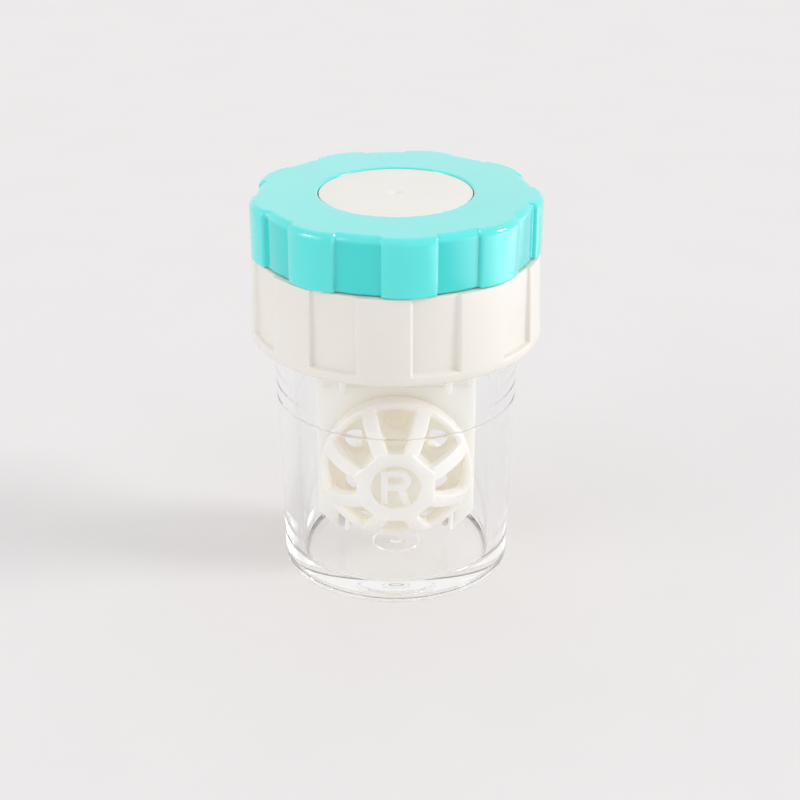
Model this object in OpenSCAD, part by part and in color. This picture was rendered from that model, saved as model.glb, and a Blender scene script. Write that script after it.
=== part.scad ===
// Rotary contact lens case. A clear cup holds the solution, and a white collar screws onto its neck.
// A turquoise knob on the collar turns a spindle, which carries the lens frame with its two hinged baskets.
// Millimetres, +Z up, origin at the centre of the cup's foot. The right-eye basket faces -Y, the front.

/* [Baskets] */
// Outside diameter of a basket's rim
basket_d = 23.3; // [22:0.1:27]
// Depth from the frame's face to the face of the hub
basket_depth = 9; // [8:0.1:11]
// Gap between a closed basket and the frame
basket_gap = 0.3; // [0.2:0.05:0.6]
// Depth of the rim ring
rim_h = 3; // [2:0.1:4]
// Width of the rim ring
rim_w = 1.2; // [0.8:0.1:2]
// Inset of the cage's outer surface from the rim's outside
cage_inset = 0.4; // [0.2:0.1:0.8]
// Thickness of the spokes
cage_t = 1.6; // [1.2:0.1:2.2]
// Number of spokes
spokes = 8; // [6:2:12]
// Width of a spoke
spoke_w = 2.2; // [1.4:0.1:2.8]
// Hub, across its flats
hub_af = 11.4; // [9.5:0.1:13]
// How far the hub's face stands out from the spokes
hub_lip = 0.3; // [0.1:0.05:0.6]
// Thickness of the hub
hub_t = 3.4; // [2.4:0.1:3.6]
// Diameter of the round recess that holds the eye mark
mark_recess_d = 7.4; // [7:0.1:8.6]
// Depth of that recess
mark_recess = 1.4; // [0.3:0.1:2]
// Height of the eye mark
mark_h = 5.7; // [4:0.1:6]
// Width of the eye mark
mark_w = 4.4; // [3:0.1:4.4]
// Width of the eye mark's strokes
mark_stroke = 1; // [0.6:0.1:1.2]

/* [Basket hinges] */
// Diameter of the hinge stubs on the frame's ears
stub_d = 1.2; // [1:0.1:1.8]
// Radial running clearance of a lug on its stub
hinge_clear = 0.05; // [0.02:0.01:0.1]
// Wall of a lug around its stub
lug_wall = 0.55; // [0.5:0.05:0.8]
// Share of a lug's bar in the width of its eye
bar_share = 0.85; // [0.6:0.05:0.9]
// Thickness of a lug's arm, up to the rim
arm_t = 1; // [0.8:0.1:2]
// Thickness of a lug
lug_w = 0.8; // [0.6:0.1:1.1]
// Side gap between a lug and its neighbours
lug_gap = 0.15; // [0.1:0.05:0.35]

/* [Lens frame] */
// Thickness of the plate
plate_t = 2; // [1.4:0.1:3]
// How far the plate reaches past the basket's rim on each side
frame_side = 0.75; // [0.3:0.05:1.5]
// Distance between the two ears
ear_spacing = 18.4; // [17.6:0.1:20]
// Gap between the plate's lower edge and the lugs under it
lug_room = 0.6; // [0.4:0.1:1]
// Height of the basket's rim above the lowest point of the frame
rim_lift = 0.35; // [0.2:0.05:1.5]
// Number of drain holes behind a basket
drain_holes = 6; // [4:1:8]
// Diameter of a drain hole
drain_hole_d = 3.9; // [2:0.1:4.4]
// Diameter of the ring of drain holes
drain_ring_d = 14.4; // [13.4:0.1:17]
// Diameter of the low dome that the lens rests on
seat_d = 9.4; // [6:0.1:9.8]
// Height of that dome
seat_h = 1; // [0.4:0.1:1.6]
// Distance between the two stiffening ribs
rib_spacing = 16.2; // [14.6:0.1:20]
// Thickness of a rib
rib_t = 0.9; // [0.6:0.1:1.6]
// Reach of a rib from the middle of the plate, at its top
rib_reach = 6; // [4:0.1:9]
// Reach of a rib from the middle of the plate, at its foot
rib_foot = 2.2; // [1.6:0.1:4]
// Gap between a basket's rim and the ribs above it
rib_gap = 0.35; // [0.3:0.05:3]
// Gap between a basket's rim and the thin web above it
web_gap = 1.15; // [0.5:0.05:3]
// Depth of the step from the plate to the web
web_step = 0.5; // [0.2:0.1:0.6]
// Margin of the web at the plate's edges
web_margin = 1; // [0.6:0.1:2]
// Margin of the top flange past the plate's edges
flange_side = 1.1; // [0.4:0.1:1.5]
// Thickness of the top flange
flange_t = 1.6; // [1:0.1:3]
// Height of the socket for the spindle
socket_h = 11; // [9:0.1:12]

/* [Cup] */
// Height of the cup to its rim
cup_h = 47.6; // [45:0.1:60]
// Wall thickness
cup_wall = 3; // [2:0.1:4]
// Thickness of the floor
floor_t = 2.5; // [1.8:0.1:4]
// Draft of the walls in degrees
cup_draft = 1.4; // [0.5:0.1:2]
// Room between the holder and the cup's wall
holder_clear = 2.33; // [1.2:0.01:4]
// Room between the holder and the cup's floor
holder_floor_gap = 1.9; // [1:0.1:4]
// Rounding of the foot
foot_fillet = 0.5; // [0.2:0.1:1.2]
// Rounding between floor and wall, inside
cavity_fillet = 1.2; // [0.5:0.1:3]
// Width of the ring that the cup stands on
foot_w = 2.4; // [1.2:0.1:4]
// Hollow of the underside
foot_hollow = 0.4; // [0.2:0.1:0.8]
// Diameter of the round dimple in the underside
gate_d = 7.5; // [3:0.1:10]
// Depth of that dimple
gate_depth = 0.6; // [0.2:0.1:0.8]
// Height of the fill line
fill_z = 28.3; // [15:0.1:34]
// Width of the fill line's raised bead
fill_w = 0.4; // [0.2:0.05:0.8]

/* [Screw thread] */
// Step from the wall to the neck
neck_step = 0.6; // [0.2:0.1:1]
// Drop of the cup's shoulder below the collar
shoulder_drop = 0.2; // [0.1:0.1:2]
// Depth of the threads
thread_depth = 1; // [0.6:0.1:1.4]
// Radial gap between a thread's crest and the other piece's wall
thread_gap = 0.45; // [0.3:0.05:0.7]
// Rise of one turn
thread_pitch = 3.6; // [3:0.1:4]
// Turns from closed to free
thread_turns = 1.25; // [1:0.05:1.4]
// Turns of the collar's thread
collar_thread_turns = 1; // [0.5:0.05:1.1]
// Height of a thread at its root
thread_root = 1.5; // [1:0.1:1.6]
// Height of a thread at its crest
thread_crest = 0.8; // [0.5:0.1:1]
// Drop of the cup's uppermost thread below the rim
thread_drop = 1.9; // [1.2:0.1:2.6]
// Share of a pitch by which the collar's thread lies under the cup's
thread_lag = 0.42; // [0.4:0.01:0.55]

/* [Gasket] */
// Thickness of the gasket
gasket_t = 1.2; // [0.6:0.1:2]
// Gap between the gasket and the walls beside it
gasket_gap = 0.2; // [0.1:0.05:0.5]

/* [Collar] */
// Height of the collar
collar_h = 13.1; // [12:0.1:16]
// Thickness of the deck under the knob
deck_t = 2.5; // [1.6:0.1:4]
// Wall behind a sunk panel
panel_wall = 1.5; // [1:0.1:2.5]
// Depth of a panel at the collar's lower edge
panel_depth = 0.9; // [0.4:0.1:1.2]
// How much narrower the collar is at its top, on each side
collar_taper = 0.43; // [0:0.01:0.6]
// Number of raised grip pads
pads = 9; // [6:1:14]
// Share of a pad in its pitch
pad_share = 0.53; // [0.3:0.01:0.8]
// Turn of the first pad from the front, in degrees
pad_turn = -4.5; // [-20:0.5:20]
// Height of the plain band under the panels
band_h = 1.6; // [0.8:0.1:3]
// Chamfer of the lower edge
collar_chamfer = 0.35; // [0.1:0.05:0.6]
// Drop of the spindle's bearing boss below the deck
bearing_drop = 3.5; // [2:0.1:6]
// Wall of the bearing boss and of the frame's socket
bearing_wall = 2.5; // [1.5:0.1:4]

/* [Knob] */
// Height of the knob
knob_h = 8.5; // [7:0.1:14]
// Inset of the knob's lobes from the collar's lower edge
knob_inset = 0.1; // [0:0.05:1]
// Gap between knob and collar
knob_gap = 0.2; // [0.1:0.05:1]
// Number of lobes
lobes = 9; // [6:1:14]
// Share of a lobe in its pitch
lobe_share = 0.54; // [0.3:0.01:0.75]
// Turn of the first lobe from the front, in degrees
lobe_turn = 5.2; // [-20:0.1:20]
// Depth of the valleys below the lobes' crowns
valley_depth = 1.2; // [0.6:0.1:2]
// Drop of a lobe's edges below its crown
lobe_drop = 0.6; // [0.3:0.05:1]
// Rounding of the top edge
knob_fillet = 1; // [0.4:0.1:1.6]
// Wall of the knob's skirt
knob_wall = 2; // [1.2:0.1:3]
// Thickness of the top
knob_top_t = 2; // [1.2:0.1:3]
// Depth of the pocket for the disc and the spindle's head
pocket_depth = 3.4; // [2.8:0.1:5]
// Thickness of the web under the pocket
web_t = 1.9; // [1.2:0.1:2.2]
// Wall around the pocket
pocket_wall = 1.8; // [1:0.1:3]
// Wall of the hub around the spindle
hub_wall = 2; // [1.2:0.1:3]

/* [Centre disc] */
// Diameter of the disc
disc_d = 22.74; // [18:0.02:26]
// Gap around the disc
disc_gap = 0.12; // [0.05:0.01:0.3]
// Drop of the disc below the knob's top
disc_drop = 0.15; // [0:0.05:0.5]
// Diameter of the dimple in the middle of the disc
dimple_d = 2.4; // [1:0.1:4]
// Depth of that dimple
dimple_depth = 0.15; // [0.05:0.05:0.4]

/* [Spindle] */
// Diameter of the spindle
spindle_d = 9; // [7:0.1:11]
// Radial running clearance in the collar
spindle_clear = 0.06; // [0.02:0.01:0.1]
// Clearance of pieces fixed to each other
fit_clear = 0.05; // [0.02:0.01:0.1]
// End gap between turning and standing pieces
end_gap = 0.3; // [0.2:0.05:0.5]
// How much wider the hexagon is than the spindle
hex_extra = 0.6; // [0.3:0.1:1.2]
// Diameter of the spindle's head
head_d = 16; // [13:0.1:19]
// Thickness of the spindle's head
head_t = 1.4; // [0.8:0.1:2]
// Depth of the two flats at the spindle's lower end
flat_depth = 0.9; // [0.4:0.1:1.5]
// Height of the snap end
snap_h = 1.5; // [1:0.1:2.5]
// How far the snap end stands out
snap_lip = 0.4; // [0.2:0.05:0.6]
// Room around the snap end
snap_room = 0.4; // [0.2:0.1:1]
// Width of the slot that lets the snap end spring
slot_w = 1.6; // [1:0.1:2.5]
// Diameter of the seal's section
seal_d = 1; // [0.8:0.1:1.6]

/* [Hidden] */
$fn = 96;

clear_plastic = [0.86, 0.92, 0.94, 0.35];
white_plastic = [0.95, 0.94, 0.90];
turquoise_plastic = [0.29, 0.86, 0.84];
silicone = [0.88, 0.88, 0.86];

front_angle = -90;
over = 1;
weld = 0.3;
thread_steps = 36;
thread_fade = 4;

// Lens frame and baskets, from the cup's floor upwards
basket_r = basket_d / 2;
plate_y = plate_t / 2;
ear_z = floor_t + holder_floor_gap;
lug_r = stub_d / 2 + hinge_clear + lug_wall;
hinge_z = ear_z + lug_r;
plate_z = hinge_z + lug_r + lug_room;
basket_z = ear_z + rim_lift + basket_r;
frame_x = basket_r + frame_side;
ear_x = ear_spacing / 2;
lug_pitch = lug_w + lug_gap;
stub_len = 2 * lug_pitch + lug_gap;
rib_z = basket_z + basket_r + rib_gap;
web_z = basket_z + basket_r + web_gap;
rim_front = basket_gap + rim_h;
cage_rim_r = basket_r - cage_inset;
cage_hub_r = hub_af / 2;
cage_c = (pow(cage_rim_r, 2) - pow(cage_hub_r, 2) + pow(rim_front, 2) - pow(basket_depth, 2))
    / (2 * (rim_front - basket_depth));
cage_r = sqrt(pow(cage_hub_r, 2) + pow(basket_depth - cage_c, 2));

// Cup, around the holder
holder_r = max(norm([frame_x, plate_y]), norm([basket_r, plate_y + rim_front]));
cavity_r = holder_r + holder_clear;
function inside_r(z) = cavity_r + (z - floor_t) * tan(cup_draft);
function outside_r(z) = inside_r(z) + cup_wall;

// Collar, from the cup's rim upwards
deck_z = cup_h + gasket_t;
collar_top = deck_z + deck_t;
collar_z = collar_top - collar_h;
shoulder_z = collar_z - shoulder_drop;
neck_r = outside_r(shoulder_z) - neck_step;
skirt_r = neck_r + thread_depth + thread_gap;
panel_r = skirt_r + panel_wall;
collar_r = panel_r + panel_depth;
cup_thread_z = cup_h - thread_drop - thread_turns * thread_pitch;
collar_thread_z = cup_thread_z - thread_lag * thread_pitch;
bearing_z = deck_z - bearing_drop;

// Spindle, knob and disc
spindle_r = spindle_d / 2;
bore_r = spindle_r + spindle_clear;
bearing_r = spindle_r + bearing_wall;
hex_r = (spindle_r + hex_extra / 2) / cos(30);
hub_r = hex_r + hub_wall;
knob_r = collar_r - knob_inset;
valley_r = knob_r - valley_depth;
knob_z = collar_top + knob_gap;
knob_top = knob_z + knob_h;
hub_z = collar_top + end_gap;
pocket_z = knob_top - pocket_depth;
disc_top = knob_top - disc_drop;
disc_z = pocket_z + head_t + fit_clear;
pocket_r = disc_d / 2 + disc_gap;
flange_top = bearing_z - end_gap;
flange_z = flange_top - flange_t;
flange_r = frame_x + flange_side;
socket_z = flange_top - socket_h;
snap_r = spindle_r + snap_lip;
snap_top = socket_z + snap_room + 2 * snap_h;
snap_z = snap_top - snap_h - fit_clear;
seal_z = (bearing_z + collar_top) / 2;
seal_ring_r = bore_r - spindle_clear - seal_d / 2;

// A ring of round section, centred on the axis
module ring(ring_r, section_d, z) {
    translate([0, 0, z])
        rotate_extrude()
            translate([ring_r, 0])
                circle(d = section_d, $fn = 48);
}

// A round post with a rounded top edge
module round_top(r, h, fillet) {
    cylinder(r = r, h = h - fillet);
    cylinder(r = r - fillet, h = h);
    ring(r - fillet, 2 * fillet, h - fillet);
}

// A slice of the plane, centred on +X
module wedge(angle, reach, h) {
    half = angle / 2;
    linear_extrude(height = h)
        polygon([[0, 0], reach * [cos(half), -sin(half)], reach * [cos(half), sin(half)]]);
}

// One helical thread ridge on a wall of radius wall_r. depth is positive outwards and negative inwards.
function ridge_section(wall_r, depth, fade) =
    let (sink = depth > 0 ? -weld : weld)
    let (root_r = wall_r + sink)
    let (crest_r = root_r + (depth - sink) * fade)
    let (root = thread_root / 2)
    let (crest = thread_crest / 2)
    depth > 0
        ? [[root_r, -root], [crest_r, -crest], [crest_r, crest], [root_r, root]]
        : [[crest_r, -crest], [root_r, -root], [root_r, root], [crest_r, crest]];

module helix_ridge(wall_r, depth, z, turns) {
    steps = ceil(turns * thread_steps);
    points = [
        for (i = [0:steps])
            let (angle = front_angle + 360 * turns * i / steps)
            let (lift = z + thread_pitch * turns * i / steps)
            let (fade = min(1, max(0.1, i / thread_fade), max(0.1, (steps - i) / thread_fade)))
            for (p = ridge_section(wall_r, depth, fade))
                [p[0] * cos(angle), p[0] * sin(angle), lift + p[1]]
    ];
    sides = [
        for (i = [0:steps - 1])
            for (k = [0:3])
                let (a = 4 * i + k)
                let (b = 4 * i + (k + 1) % 4)
                each [[a, b, b + 4], [a, b + 4, a + 4]]
    ];
    last = 4 * steps;
    ends = [[3, 2, 1], [3, 1, 0], [last, last + 1, last + 2], [last, last + 2, last + 3]];
    polyhedron(points = points, faces = concat(sides, ends));
}

// Thick clear cup with a tapered wall, a fill line and a threaded neck
module cup() {
    foot_r = outside_r(foot_fillet);
    fillet_z = floor_t + cavity_fillet;
    color(clear_plastic)
        difference() {
            union() {
                cylinder(r = foot_r - foot_fillet, h = floor_t);
                ring(foot_r - foot_fillet, 2 * foot_fillet, foot_fillet);
                translate([0, 0, foot_fillet])
                    cylinder(r1 = foot_r, r2 = outside_r(shoulder_z), h = shoulder_z - foot_fillet);
                translate([0, 0, shoulder_z - over])
                    cylinder(r = neck_r, h = over + cup_h - shoulder_z);
                ring(outside_r(fill_z), fill_w, fill_z);
                helix_ridge(neck_r, thread_depth, cup_thread_z, thread_turns);
            }
            translate([0, 0, fillet_z])
                cylinder(
                    r1 = inside_r(fillet_z), r2 = inside_r(cup_h + over), h = cup_h + over - fillet_z);
            ring(inside_r(fillet_z) - cavity_fillet, 2 * cavity_fillet, fillet_z);
            translate([0, 0, floor_t])
                cylinder(r = inside_r(fillet_z) - cavity_fillet, h = 2 * cavity_fillet);
            translate([0, 0, -over])
                cylinder(r = foot_r - foot_fillet - foot_w, h = over + foot_hollow);
            translate([0, 0, -over])
                cylinder(d = gate_d, h = over + foot_hollow + gate_depth);
        }
}

// Flat silicone ring that seals the cup's rim against the collar's deck
module cap_gasket() {
    color(silicone)
        translate([0, 0, cup_h])
            difference() {
                cylinder(r = skirt_r - gasket_gap, h = gasket_t);
                translate([0, 0, -over])
                    cylinder(r = inside_r(cup_h) + gasket_gap, h = gasket_t + 2 * over);
            }
}

// White collar with raised grip pads, an inside thread and a bearing for the spindle
module screw_collar() {
    pitch = 360 / pads;
    panel_angle = pitch * (1 - pad_share);
    color(white_plastic)
        difference() {
            union() {
                difference() {
                    translate([0, 0, collar_z])
                        union() {
                            cylinder(
                                r1 = collar_r - collar_chamfer, r2 = collar_r, h = collar_chamfer);
                            translate([0, 0, collar_chamfer])
                                cylinder(
                                    r1 = collar_r, r2 = collar_r - collar_taper,
                                    h = collar_h - collar_chamfer);
                        }
                    translate([0, 0, collar_z - over])
                        cylinder(r = skirt_r, h = over + collar_h - deck_t);
                    for (i = [0:pads - 1])
                        rotate(front_angle + pad_turn + (i + 0.5) * pitch - panel_angle / 2)
                            rotate_extrude(angle = panel_angle)
                                translate([panel_r, collar_z + band_h])
                                    square([panel_depth + over, collar_h]);
                }
                translate([0, 0, bearing_z])
                    cylinder(r = bearing_r, h = bearing_drop + weld);
                helix_ridge(skirt_r, -thread_depth, collar_thread_z, collar_thread_turns);
            }
            translate([0, 0, bearing_z - over])
                cylinder(r = bore_r, h = bearing_drop + deck_t + 2 * over);
        }
}

// One lobe of the knob, a shallow arc with straight sides
module lobe(angle, h) {
    edge_r = knob_r - lobe_drop;
    half_w = edge_r * sin(angle / 2);
    rise = knob_r - edge_r * cos(angle / 2);
    arc_r = (pow(half_w, 2) + pow(rise, 2)) / (2 * rise);
    intersection() {
        translate([knob_r - arc_r, 0, 0])
            cylinder(r = arc_r, h = h);
        wedge(angle, knob_r + over, h);
    }
}

// Turquoise knob with lobes all round, a pocket in its top and a hexagon hub
module knob() {
    pitch = 360 / lobes;
    color(turquoise_plastic)
        difference() {
            union() {
                translate([0, 0, knob_z])
                    difference() {
                        union() {
                            round_top(valley_r, knob_h, knob_fillet);
                            intersection() {
                                round_top(knob_r + fit_clear, knob_h, knob_fillet + fit_clear);
                                for (i = [0:lobes - 1])
                                    translate([0, 0, -over])
                                        rotate(front_angle + lobe_turn + i * pitch)
                                            lobe(pitch * lobe_share, knob_h + 2 * over);
                            }
                        }
                        translate([0, 0, -over])
                            difference() {
                                cylinder(r = valley_r - knob_wall, h = over + knob_h - knob_top_t);
                                cylinder(r = pocket_r + pocket_wall, h = over + knob_h);
                            }
                        translate([0, 0, -over])
                            cylinder(
                                r = pocket_r + pocket_wall + weld,
                                h = over + knob_h - pocket_depth - web_t);
                    }
                translate([0, 0, hub_z])
                    cylinder(r = hub_r, h = pocket_z - hub_z);
            }
            translate([0, 0, pocket_z])
                cylinder(r = pocket_r, h = pocket_depth + over);
            translate([0, 0, hub_z - over])
                cylinder(r = hex_r + fit_clear, h = pocket_z - hub_z + 2 * over, $fn = 6);
        }
}

// White disc that closes the pocket and covers the spindle's head
module centre_disc() {
    dimple_r = (pow(dimple_d / 2, 2) + pow(dimple_depth, 2)) / (2 * dimple_depth);
    color(white_plastic)
        difference() {
            translate([0, 0, disc_z])
                cylinder(d = disc_d, h = disc_top - disc_z);
            translate([0, 0, disc_top - dimple_depth + dimple_r])
                sphere(r = dimple_r);
        }
}

// The spindle's lower end, round with two flats
module flatted_end(extra, z_low, z_high) {
    width = 2 * (spindle_r + extra);
    depth = width - 2 * flat_depth;
    translate([0, 0, z_low])
        intersection() {
            cylinder(d = width, h = z_high - z_low);
            translate([-width, -depth / 2, 0])
                cube([2 * width, depth, z_high - z_low]);
        }
}

// White spindle: a head in the knob, a hexagon, a round bearing and a split snap end in the frame
module spindle() {
    groove_h = seal_d + 2 * fit_clear;
    groove_r = seal_ring_r - seal_d / 2 - fit_clear;
    color(white_plastic)
        difference() {
            union() {
                translate([0, 0, pocket_z])
                    cylinder(d = head_d, h = head_t);
                translate([0, 0, hub_z])
                    cylinder(r = hex_r, h = pocket_z - hub_z + head_t / 2, $fn = 6);
                translate([0, 0, flange_top])
                    cylinder(r = spindle_r, h = hub_z - flange_top + weld);
                flatted_end(0, snap_z + snap_h / 2, flange_top + weld);
                translate([0, 0, snap_z])
                    cylinder(r1 = spindle_r - snap_lip, r2 = snap_r, h = snap_h);
            }
            translate([0, 0, seal_z - groove_h / 2])
                difference() {
                    cylinder(r = spindle_r + over, h = groove_h);
                    translate([0, 0, -over])
                        cylinder(r = groove_r, h = groove_h + 2 * over);
                }
            translate([-spindle_d, -slot_w / 2, snap_z - over])
                cube([2 * spindle_d, slot_w, over + 3 * snap_h]);
        }
}

// O-ring in the spindle's groove
module spindle_seal() {
    color(silicone)
        ring(seal_ring_r, seal_d, seal_z);
}

// Half of the plate's outline on +X, from its slanted ear to the flange
module plate_half() {
    ear_top = ear_z + frame_x - ear_x;
    polygon([
        [0, plate_z], [ear_x, plate_z], [ear_x, ear_z], [frame_x, ear_top],
        [frame_x, flange_z + weld], [0, flange_z + weld],
    ]);
}

// White lens frame: a drilled plate with ears below, and a ribbed web, a flange and a socket above
module lens_frame() {
    dome_r = (pow(seat_d / 2, 2) + pow(seat_h, 2)) / (2 * seat_h);
    web_x = frame_x - web_margin;
    color(white_plastic)
        difference() {
            union() {
                difference() {
                    translate([0, plate_y, 0])
                        rotate([90, 0, 0])
                            linear_extrude(height = plate_t) {
                                plate_half();
                                mirror([1, 0])
                                    plate_half();
                            }
                    for (side = [-1, 1])
                        translate([-web_x, side * plate_y - web_step, web_z])
                            cube([2 * web_x, 2 * web_step, flange_z - web_z]);
                }
                for (turn = [0, 180])
                    rotate(turn)
                        translate([ear_x - stub_len, 0, hinge_z])
                            rotate([0, 90, 0])
                                cylinder(d = stub_d, h = stub_len + weld, $fn = 48);
                for (side = [-1, 1])
                    translate([0, 0, basket_z])
                        intersection() {
                            translate([0, side * (plate_y + seat_h - dome_r), 0])
                                sphere(r = dome_r);
                            translate([-seat_d, side > 0 ? 0 : -seat_d, -seat_d])
                                cube([2 * seat_d, seat_d, 2 * seat_d]);
                        }
                for (side = [-1, 1])
                    translate([side * rib_spacing / 2 - rib_t / 2, 0, 0])
                        rotate([90, 0, 90])
                            linear_extrude(height = rib_t)
                                polygon([
                                    [-rib_foot, rib_z], [rib_foot, rib_z],
                                    [rib_reach, flange_z + weld], [-rib_reach, flange_z + weld]
                                ]);
                translate([0, 0, flange_z])
                    cylinder(r = flange_r, h = flange_t);
                translate([0, 0, socket_z])
                    cylinder(r = bearing_r, h = socket_h);
            }
            for (i = [0:drain_holes - 1])
                translate([0, 0, basket_z])
                    rotate([0, 360 * i / drain_holes, 0])
                        translate([0, plate_y + over, drain_ring_d / 2])
                            rotate([90, 0, 0])
                                cylinder(d = drain_hole_d, h = plate_t + 2 * over, $fn = 48);
            flatted_end(fit_clear, socket_z, flange_top + over);
            translate([0, 0, socket_z])
                cylinder(r = snap_r + snap_room, h = snap_top - socket_z);
        }
}

// The strokes of the right-eye mark, centred, in the plane
module right_mark() {
    bowl_r = (mark_h / 2 + mark_stroke / 2) / 2;
    bowl_y = mark_h / 2 - bowl_r;
    bowl_x = mark_w / 2 - bowl_r;
    translate([-mark_w / 2, -mark_h / 2])
        square([mark_stroke, mark_h]);
    difference() {
        union() {
            translate([bowl_x, bowl_y])
                circle(r = bowl_r, $fn = 48);
            translate([-mark_w / 2, bowl_y - bowl_r])
                square([bowl_x + mark_w / 2, 2 * bowl_r]);
        }
        translate([bowl_x, bowl_y])
            circle(r = bowl_r - mark_stroke, $fn = 48);
        translate([-mark_w / 2 + mark_stroke, bowl_y - bowl_r + mark_stroke])
            square([bowl_x + mark_w / 2 - mark_stroke, 2 * (bowl_r - mark_stroke)]);
    }
    polygon([
        [bowl_x - mark_stroke / 2, bowl_y - bowl_r + mark_stroke / 2],
        [mark_w / 2 - mark_stroke * 1.15, -mark_h / 2],
        [mark_w / 2, -mark_h / 2],
        [bowl_x + mark_stroke * 0.65, bowl_y - bowl_r + mark_stroke / 2],
    ]);
}

// The strokes of the left-eye mark, centred, in the plane
module left_mark() {
    translate([-mark_w / 2, -mark_h / 2])
        square([mark_stroke, mark_h]);
    translate([-mark_w / 2, -mark_h / 2])
        square([mark_w, mark_stroke]);
}

// One hinge lug of a basket lying on its open back: an eye on the stub, a bar to the front and an arm up
// to the rim. Its outer face lies at x.
module hinge_lug(x) {
    hinge_line = hinge_z - basket_z;
    arm_y = -sqrt(pow(basket_r - rim_w / 2, 2) - pow(x, 2));
    bar = lug_r * bar_share;
    translate([x - lug_w, hinge_line, -plate_y])
        rotate([0, 90, 0])
            cylinder(r = lug_r, h = lug_w, $fn = 48);
    translate([x - lug_w, hinge_line - bar, -plate_y])
        cube([lug_w, 2 * bar, plate_y + basket_gap + arm_t]);
    translate([x - lug_w, hinge_line, basket_gap])
        cube([lug_w, arm_y - hinge_line, arm_t]);
}

// The cage of a basket lying on its open back, with its hinge lugs towards -Y.
// Its lugs are staggered, so that two baskets facing each other share the frame's stubs.
module basket_cage() {
    hinge_line = hinge_z - basket_z;
    outer_lug = ear_x - lug_gap;
    spoke_low = rim_front - rim_h / 2;
    difference() {
        union() {
            translate([0, 0, basket_gap])
                difference() {
                    cylinder(r = basket_r, h = rim_h);
                    translate([0, 0, -over])
                        cylinder(r = basket_r - rim_w, h = rim_h + 2 * over);
                }
            intersection() {
                translate([0, 0, cage_c])
                    difference() {
                        sphere(r = cage_r);
                        sphere(r = cage_r - cage_t);
                    }
                for (i = [0:spokes / 2 - 1])
                    rotate((i + 0.5) * 360 / spokes)
                        translate([-cage_rim_r, -spoke_w / 2, spoke_low])
                            cube([2 * cage_rim_r, spoke_w, basket_depth - hub_lip - spoke_low]);
            }
            translate([0, 0, basket_depth - hub_t])
                rotate(180 / spokes)
                    cylinder(r = cage_hub_r / cos(180 / spokes), h = hub_t, $fn = spokes);
            hinge_lug(outer_lug);
            mirror([1, 0, 0])
                hinge_lug(outer_lug - lug_pitch);
        }
        translate([0, 0, basket_depth - mark_recess])
            cylinder(d = mark_recess_d, h = mark_recess + over);
        translate([-ear_x, hinge_line, -plate_y])
            rotate([0, 90, 0])
                cylinder(d = stub_d + 2 * hinge_clear, h = 2 * ear_x, $fn = 48);
    }
}

// Stands a basket in front of the frame, with its mark in the recess of its hub
module basket() {
    translate([0, -plate_y, basket_z])
        rotate([90, 0, 0]) {
            basket_cage();
            translate([0, 0, basket_depth - mark_recess - weld])
                linear_extrude(height = mark_recess + weld)
                    children();
        }
}

// White basket for the right lens, in front of the frame
module basket_right() {
    color(white_plastic)
        basket()
            right_mark();
}

// White basket for the left lens, behind the frame
module basket_left() {
    color(white_plastic)
        rotate(180)
            basket()
                left_mark();
}

cup();
cap_gasket();
screw_collar();
knob();
centre_disc();
spindle();
spindle_seal();
lens_frame();
basket_right();
basket_left();
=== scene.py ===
import math

import bmesh
import bpy
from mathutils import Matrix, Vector


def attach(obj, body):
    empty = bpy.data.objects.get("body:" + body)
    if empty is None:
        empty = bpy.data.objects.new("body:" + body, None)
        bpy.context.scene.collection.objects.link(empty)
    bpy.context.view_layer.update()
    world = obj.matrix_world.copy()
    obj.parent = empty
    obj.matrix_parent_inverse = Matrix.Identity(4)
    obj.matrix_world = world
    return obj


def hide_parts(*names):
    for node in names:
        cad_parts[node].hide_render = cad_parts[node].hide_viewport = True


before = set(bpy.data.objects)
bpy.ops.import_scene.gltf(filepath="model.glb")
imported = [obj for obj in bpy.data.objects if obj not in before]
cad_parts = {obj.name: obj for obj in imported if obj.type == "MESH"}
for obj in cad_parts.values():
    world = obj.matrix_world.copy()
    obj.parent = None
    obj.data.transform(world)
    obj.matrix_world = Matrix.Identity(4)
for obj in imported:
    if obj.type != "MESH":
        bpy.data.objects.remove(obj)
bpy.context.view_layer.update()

# Lens frame
# The white holder that hangs in the cup: a drilled plate with two slanted ears below, and a thinner web,
# two ribs, a flange and a round socket above. It is moulded in one shot, with soft edges all round,
# and the spindle's split end is snapped into its socket.
mm = 0.001
plate_half_t, web_half_t = 1.0, 0.5
plate_x, plate_low = 12.4, 7.4
ear_x, ear_low = 9.2, 4.4
ear_top = ear_low + plate_x - ear_x
hinge_z = 5.6
basket_z = 16.4
web_low, web_edge = 29.2, 1
flange_low, flange_high, flange_r = 43.4, 45.0, 13.5
drain_ring_r, drain_r = 7.2, 1.95
seat_r, seat_rise = 4.7, 1
rib_x, rib_half_t = 8.1, 0.45
rib_low, rib_low_y, rib_high, rib_high_y = 28.4, 2.2, 43.7, 6
stub_r, stub_tip, stub_root, stub_bevel = 0.6, 7.15, 9.5, 0.15
socket_r, socket_low, socket_high = 7, 34, 44
snap_r, snap_z, shaft_r = 5.3, 37.5, 4.56


def start_line(name, points):
    """Adds a piece as a line through points in mm, left in edit mode with its last point selected."""
    bpy.ops.object.select_all(action="DESELECT")
    bpy.ops.mesh.primitive_plane_add(size=mm)
    piece = bpy.context.object
    piece.name = piece.data.name = name
    bpy.ops.object.mode_set(mode="EDIT")
    bpy.ops.mesh.select_mode(type="VERT")
    bpy.ops.mesh.select_all(action="SELECT")
    bpy.ops.mesh.merge(type="CENTER")
    bpy.ops.transform.translate(value=Vector(points[0]) * mm)
    for here, there in zip(points, points[1:]):
        step = (Vector(there) - Vector(here)) * mm
        bpy.ops.mesh.extrude_region_move(TRANSFORM_OT_translate={"value": step})
    return piece


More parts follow.
